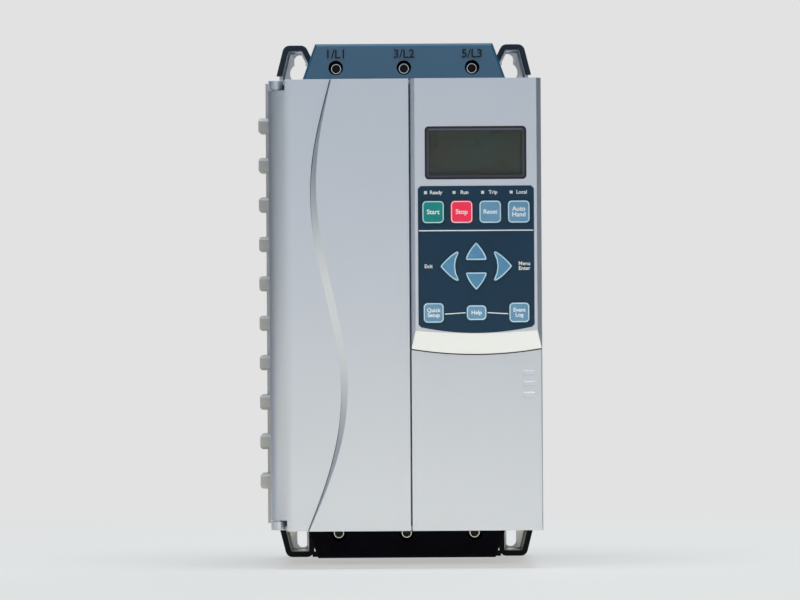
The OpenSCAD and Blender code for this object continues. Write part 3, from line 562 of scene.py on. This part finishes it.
# Lines on the overlay: one across it, and two that link the tool keys, whose flanges lie under it
DIVIDER_Z = 38.3 * MM
DIVIDER_INSET = 0.4 * MM
DIVIDER_W = 0.6
FLANGE = 0.8 * MM
LINK_GAP = 0.5 * MM
LINK_DROP = 0.7 * MM
LINK_W = 0.5
overlay_low, overlay_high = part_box("keypad_overlay")
divider_ends = overlay_low.x + DIVIDER_INSET, overlay_high.x - DIVIDER_INSET
lines = [line([(x, DIVIDER_Z) for x in divider_ends], DIVIDER_W)]
tools = [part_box(f"key_tool_{side}") for side in ("left", "middle", "right")]
tool_z = centre("key_tool_middle").z
for left, right, drops in zip(tools, tools[1:], ((LINK_DROP, 0), (0, LINK_DROP))):
    start = left[1].x - FLANGE + LINK_GAP, tool_z - drops[0]
    end = right[0].x + FLANGE - LINK_GAP, tool_z - drops[1]
    lines.append(line([start, end], LINK_W))
piece("overlay_lines", bars(lines, FACE, PRINT), white_ink, "unit")

# Painted shadow under the keypad's curved chin: a thin dark strip where the gap shades, on the plane of
# the cover's panel and the door
CHIN_SAG = 3 * MM
CHIN_STEPS = 24
CHIN_SHADOW_W = 0.6
CHIN_SHADOW_T = 0.12
door_low, door_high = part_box("door")
bezel_low, bezel_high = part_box("keypad_bezel")
chin = []
for i in range(CHIN_STEPS + 1):
    u = 2 * i / CHIN_STEPS - 1
    x = bezel_low.x + (bezel_high.x - bezel_low.x) * i / CHIN_STEPS
    chin.append((x, bezel_low.z + CHIN_SAG * u * u - CHIN_SHADOW_W * MM / 2))
piece("chin_shadow_line", bars([line(chin, CHIN_SHADOW_W)], door_low.y, CHIN_SHADOW_T), chin_painted_shadow, "unit")

# The door's curved step, in mm: where it starts at the top, how it wanders on its way down, and its size
STEP_TOP_X = -40.3
STEP_DRIFT = 13.6
STEP_BOW = 6.6
STEP_SWING = 11.2
STEP_H = 2.2
STEP_W = 4.4
STEP_END_W = 0.4
STEP_EASE = 1.2

# Shadow lines in the crease at the foot of the step: from each end of the door to a share of the way down
CREASES = ((0.002, 0.36), (0.998, 0.66))
CREASE_W = 0.45
CREASE_T = 0.04


def step_foot(s):
    """Foot of the step at a share s of the way down the door, in mm from the object's middle."""
    half_turn = math.sin(math.pi * s)
    middle = STEP_TOP_X - STEP_DRIFT * s + STEP_BOW * half_turn - STEP_SWING * math.sin(2 * math.pi * s)
    return middle - STEP_END_W / 2 - (STEP_W - STEP_END_W) / 2 * half_turn ** STEP_EASE


def crease(start, end, steps=40):
    """Strip along the foot that tapers to nothing over the second half of its length."""
    outer, inner = [], []
    for i in range(steps):
        t = i / steps
        s = start + (end - start) * t
        x, z = step_foot(s) * MM, door_high.z + (door_low.z - door_high.z) * s
        outer.append((x - CREASE_W * min(1, 2 * (1 - t)) * MM, z))
        inner.append((x, z))
    return outer + inner[::-1]


low_face = door_low.y + STEP_H * MM
creases = bars([crease(start, end) for start, end in CREASES], low_face, CREASE_T)
piece("step_crease", creases, crease_grey, "door")

# Display glass in the frame of the display module
GLASS_BORDER = 3 * MM
GLASS_DEPTH = 0.5 * MM
GLASS_T = 0.3
lcd_low, lcd_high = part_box("lcd_module")
left, right = lcd_low.x + GLASS_BORDER, lcd_high.x - GLASS_BORDER
bottom, top = lcd_low.z + GLASS_BORDER, lcd_high.z - GLASS_BORDER
glass = [(left, bottom), (right, bottom), (right, top), (left, top)]
piece("display_glass", bars([glass], lcd_low.y + GLASS_DEPTH, GLASS_T), display, "unit")


def rounded_outline(middle, width, height, radius, steps=8):
    """Points round a rectangle with rounded corners, in x and z; sizes in mm."""
    points = []
    for turn, (sx, sz) in enumerate(((1, 1), (-1, 1), (-1, -1), (1, -1))):
        for i in range(steps + 1):
            a = math.pi / 2 * (turn + i / steps)
            points.append((
                middle.x + (sx * (width / 2 - radius) + radius * math.cos(a)) * MM,
                middle.z + (sz * (height / 2 - radius) + radius * math.sin(a)) * MM,
            ))
    return points


def printed_frame(outer, inner, front):
    """A flat frame between two outlines with the same number of points."""
    mesh = bpy.data.meshes.new("frame")
    n = len(outer)
    corners = [(x, front, z) for x, z in outer + inner]
    mesh.from_pydata(corners, [], [(i, (i + 1) % n, n + (i + 1) % n, n + i) for i in range(n)])
    return mesh


# Border printed on the window, dark outside; inside it a paler ring that is a painted highlight on the
# bevel of the opening, and a strip of painted highlight at its top; in mm
OPENING_W = 55.8
OPENING_H = 29.2
OPENING_R = 2.2
BORDER_INSETS = (0.05, 1.15, 2.25)
LEAST_R = 0.6
SHEEN_INSET = 2.3
SHEEN_DROP = 1.7
SHEEN_W = 1.0
SHEEN_T = 0.02
window_middle = centre("display_window")
window_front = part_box("display_window")[0].y - PRINT * MM
rings = [
    rounded_outline(
        window_middle, OPENING_W - 2 * inset, OPENING_H - 2 * inset, max(OPENING_R - inset, LEAST_R)
    )
    for inset in BORDER_INSETS
]
for name, outer, inner, material in (
    ("outer", rings[0], rings[1], border_ink), ("inner", rings[1], rings[2], window_bevel_painted_highlight)
):
    mesh = printed_frame(outer, inner, window_front)
    piece(f"window_border_{name}", mesh, material, "unit")
reach = (OPENING_W / 2 - SHEEN_INSET) * MM
sheen_z = window_middle.z + (OPENING_H / 2 - SHEEN_DROP) * MM
sheen = line([(window_middle.x - reach, sheen_z), (window_middle.x + reach, sheen_z)], SHEEN_W)
piece("window_top_highlight_strip", bars([sheen], window_front, SHEEN_T), window_top_painted_highlight, "unit")

# Embossed terminal marks: on the upper housing a face darkened by painted shade over a bolder, paler
# layer that is a painted highlight round its edge; plain on the lower one
MARKS = {
    "line_terminal": ("1/L1", "3/L2", "5/L3"),
    "load_terminal": ("2/T1", "4/T2", "6/T3"),
}
# Name, rise and boldness in mm, and finish of each layer; and which way from the middle the row lies
MARK_LAYERS = {
    "line_terminal": [("face", 0.5, 0.12, mark_painted_shade), ("edge", 0.25, 0.28, mark_painted_highlight)],
    "load_terminal": [("face", 0.4, 0.0, shaded_terminal_teal)],
}
MARK_SIDES = {"line_terminal": 1, "load_terminal": -1}
MARK_SIZE = 6.8
MARK_Z = 138.2 * MM
SINK = 0.1
for row, marks in MARKS.items():
    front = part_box(f"{row}_housing")[0].y + SINK * MM
    for letter, mark in zip("abc", marks):
        for layer, rise, bold, material in MARK_LAYERS[row]:
            mesh = words(mark, MARK_SIZE, rise + SINK, bold)
            placed(mesh, centre(f"{row}_{letter}").x, front, MARK_SIDES[row] * MARK_Z)
            piece(f"{row}_mark_{letter}_{layer}", mesh, material, "unit")


def turned_rings(places, front, profile, steps=40):
    """Rings turned about the depth axis, from a profile of radius and rise in mm."""
    bm = bmesh.new()
    angles = [2 * math.pi * i / steps for i in range(steps)]
    for place in places:
        loops = []
        for radius, rise in profile:
            r, y = radius * MM, front - rise * MM
            loops.append([
                bm.verts.new((place.x + r * math.cos(a), y, place.z + r * math.sin(a))) for a in angles
            ])
        for inner, outer in zip(loops, loops[1:]):
            for i in range(steps):
                bm.faces.new((inner[i], inner[i - 1], outer[i - 1], outer[i]))
    bmesh.ops.recalc_face_normals(bm, faces=bm.faces)
    return mesh_of(bm, "rings")


# Bright rims round the sockets of the clamping screws, and near-black sleeves that line their holes as
# painted shade; in mm
RIM = [(2.4, 0.0), (2.4, 0.28), (2.75, 0.28), (2.75, 0.0)]
SLEEVE_FOOT = 3.3
SLEEVE_R = 4.1
SLEEVE_OUTER_R = 5.1
SLEEVE_BACK = 0.1
SLEEVE_FLOOR = 0.4
SLEEVE_SHORT = 3
for row in MARKS:
    low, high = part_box(f"{row}_screws")
    places = [Vector((centre(f"{row}_{letter}").x, 0, (low.z + high.z) / 2)) for letter in "abc"]
    piece(f"{row}_screw_rims", turned_rings(places, low.y, RIM), bright_zinc, "unit")
    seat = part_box(f"{row}_a")[0].y
    length = (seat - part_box(f"{row}_housing")[0].y) / MM - SLEEVE_SHORT
    sleeve = [
        (SLEEVE_FOOT, SLEEVE_BACK),
        (SLEEVE_FOOT, SLEEVE_FLOOR),
        (SLEEVE_R, SLEEVE_FLOOR),
        (SLEEVE_R, length),
        (SLEEVE_OUTER_R, length),
        (SLEEVE_OUTER_R, SLEEVE_BACK),
        (SLEEVE_FOOT, SLEEVE_BACK),
    ]
    piece(f"{row}_sleeves", turned_rings(places, seat, sleeve), hole_painted_shade, "unit")

# Camera at the photograph's angle
camera = bpy.data.objects.new("camera", bpy.data.cameras.new("camera"))
bpy.context.scene.collection.objects.link(camera)
camera.location = (-0.003, -3.498, 0.0004)
camera.rotation_euler = (math.radians(90), math.radians(0.36), 0)
camera.data.lens = 272
camera.data.sensor_width = 36
bpy.context.scene.camera = camera

# Floor that fades into the background away from the object
BACKDROP = srgb(226, 226, 226)
bm = bmesh.new()
bmesh.ops.create_circle(bm, cap_ends=True, segments=96, radius=40)
floor = bpy.data.objects.new("floor", mesh_of(bm, "floor"))
floor.location.z = cad_box[0].z
bpy.context.scene.collection.objects.link(floor)


def seen_directly(tree):
    """1 for what the camera sees, also in reflections and through glass."""
    path = tree.nodes.new("ShaderNodeLightPath")
    total = path.outputs["Is Camera Ray"]
    for name in ("Is Glossy Ray", "Is Transmission Ray"):
        either = tree.nodes.new("ShaderNodeMath")
        either.operation = "MAXIMUM"
        tree.links.new(total, either.inputs[0])
        tree.links.new(path.outputs[name], either.inputs[1])
        total = either.outputs[0]
    return total


ground = Finish("floor", 0.8, Specular_IOR_Level=0.0)
ground.shade(srgb(233, 231, 227), size_mm=120, spread=0.004)
glow = ground.node("ShaderNodeEmission", Color=BACKDROP)
away = ground.node("ShaderNodeVectorMath", {"operation": "LENGTH"})
ground.feed(away.inputs[0], ground.place)
fade = ground.remap(away.outputs["Value"], 0.6, 1, start=0.2, end=0.9)
share = ground.node("ShaderNodeMath", {"operation": "MULTIPLY"})
ground.feed(share.inputs[0], fade)
ground.feed(share.inputs[1], seen_directly(ground.tree))
blend = ground.node("ShaderNodeMixShader", Fac=share.outputs[0])
ground.feed(blend.inputs[1], ground.shader.outputs[0])
ground.feed(blend.inputs[2], glow.outputs[0])
ground.feed(ground.tree.nodes["Material Output"].inputs["Surface"], blend.outputs[0])
floor.data.materials.append(ground.material)

# Soft studio light
world = bpy.data.worlds.new("studio")
bpy.context.scene.world = world
world.use_nodes = True
sky = world.node_tree
ambient = sky.nodes["Background"]
ambient.inputs["Color"].default_value = (0.8, 0.9, 1.0, 1)
ambient.inputs["Strength"].default_value = 0.34
backdrop = sky.nodes.new("ShaderNodeBackground")
backdrop.inputs["Color"].default_value = BACKDROP
choose = sky.nodes.new("ShaderNodeMixShader")
sky.links.new(seen_directly(sky), choose.inputs[0])
sky.links.new(ambient.outputs[0], choose.inputs[1])
sky.links.new(backdrop.outputs[0], choose.inputs[2])
sky.links.new(choose.outputs[0], sky.nodes["World Output"].inputs["Surface"])


def softbox(name, place, size, watts, colour=(1, 1, 1), aim=(0, 0, 0), mirrored=False):
    """An area lamp at a place, turned towards a point; reflections show it only if it is mirrored."""
    light = bpy.data.lights.new(name, "AREA")
    light.shape = "RECTANGLE"
    light.size, light.size_y = size
    light.energy = watts
    light.color = colour
    made = bpy.data.objects.new(name, light)
    made.location = place
    made.rotation_euler = (Vector(aim) - Vector(place)).to_track_quat("-Z", "Y").to_euler()
    made.visible_camera = False
    made.visible_glossy = mirrored
    bpy.context.scene.collection.objects.link(made)


WARM = (1.0, 0.8, 0.5)
COOL = (0.8, 0.92, 1.0)
softbox("overhead", (0.0, -0.4, 1.5), size=(1.4, 0.9), watts=21, colour=COOL)
softbox("front", (0.0, -1.4, -0.06), size=(0.6, 0.12), watts=0.15, colour=WARM, mirrored=True)
softbox("bounce", (0.0, -0.33, -0.11), size=(0.4, 0.14), watts=0.32, colour=WARM, aim=(0, -0.24, 0.1))
softbox("rear", (0.5, 1.6, 1.1), size=(1.0, 1.0), watts=12)


def graded_card(name, near, far, start, end, strength=1.0):
    """Glowing card material that goes from one colour to another along the depth."""
    made = Finish(name, 1.0)
    colour = made.mix(made.remap(made.along("Y"), 0, 1, start, end), near, far)
    glow = made.node("ShaderNodeEmission", Color=colour, Strength=strength)
    made.feed(made.tree.nodes["Material Output"].inputs["Surface"], glow.outputs[0])
    return made.material


def upright(x, front, rear, low, high):
    """Corners of a card that stands beside the object."""
    return [(x, front, low), (x, rear, low), (x, rear, high), (x, front, high)]


def level(left, right, front, rear, z):
    """Corners of a card that lies under or hangs above the object."""
    return [(left, front, z), (right, front, z), (right, rear, z), (left, rear, z)]


def reflector(name, corners, material):
    """A card on the set that only reflections see."""
    mesh = bpy.data.meshes.new(name)
    mesh.from_pydata(corners, [], [(0, 1, 2, 3)])
    mesh.materials.append(material)
    made = bpy.data.objects.new(name, mesh)
    for ray in ("camera", "diffuse", "transmission", "volume_scatter", "shadow"):
        setattr(made, f"visible_{ray}", False)
    bpy.context.scene.collection.objects.link(made)


# Grey cards at the sides, darker towards the back and high up; the upper ones hang just inside the others
SIDE_X = 0.9
UPPER_SHARE = 0.98
CARD_LOW = -0.14
CARD_SPLIT = 0.22
CARD_TOP = 1.6
SHADE_FRONT = -2.6
UPPER_FRONT = -1.6
DARK_REAR = 3
slate = srgb(98, 102, 106)
shade_card = graded_card("shade_card", BACKDROP, slate, SHADE_FRONT, -0.2)
dark_card = graded_card("dark_card", slate, srgb(12, 13, 15), 0.0, 0.25)
upper_card = graded_card("upper_card", srgb(60, 64, 70), srgb(26, 28, 32), UPPER_FRONT, -0.6)
for side, x in (("left", -SIDE_X), ("right", SIDE_X)):
    reflector(f"shade_{side}", upright(x, SHADE_FRONT, 0, CARD_LOW, CARD_TOP), shade_card)
    reflector(f"dark_{side}", upright(x, 0, DARK_REAR, CARD_LOW, CARD_TOP), dark_card)
    reflector(f"upper_{side}", upright(UPPER_SHARE * x, UPPER_FRONT, 0, CARD_SPLIT, CARD_TOP), upper_card)

# Bright card overhead, and cream ones just above the floor
CEILING_Z = 1.5
CEILING_FRONT = -1.2
CEILING_REAR = -0.25
pale = srgb(255, 250, 242)
ceiling_card = graded_card("ceiling_card", pale, pale, CEILING_FRONT, CEILING_REAR, strength=3.6)
reflector("ceiling", level(-0.8, 0.8, CEILING_FRONT, CEILING_REAR, CEILING_Z), ceiling_card)
cream = srgb(255, 244, 218)
floor_card = graded_card("floor_card", scaled(cream, 0.45), cream, -0.8, -0.3, strength=2.05)
near_card = graded_card("near_card", cream, cream, -0.3, 0.0, strength=1.2)
side_card = graded_card("side_card", scaled(cream, 0.8), cream, -1.3, -0.3, strength=2.4)
ground_z = floor.location.z + 1 * MM
reflector("glow_middle", level(-0.16, 0.3, -0.8, -0.24, ground_z), floor_card)
reflector("glow_near", level(-0.16, 0.16, -0.24, -0.05, ground_z), near_card)
reflector("glow_left", level(-1.2, -0.35, -1.2, -0.08, ground_z), side_card)
bpy.context.scene.view_settings.view_transform = "Standard"
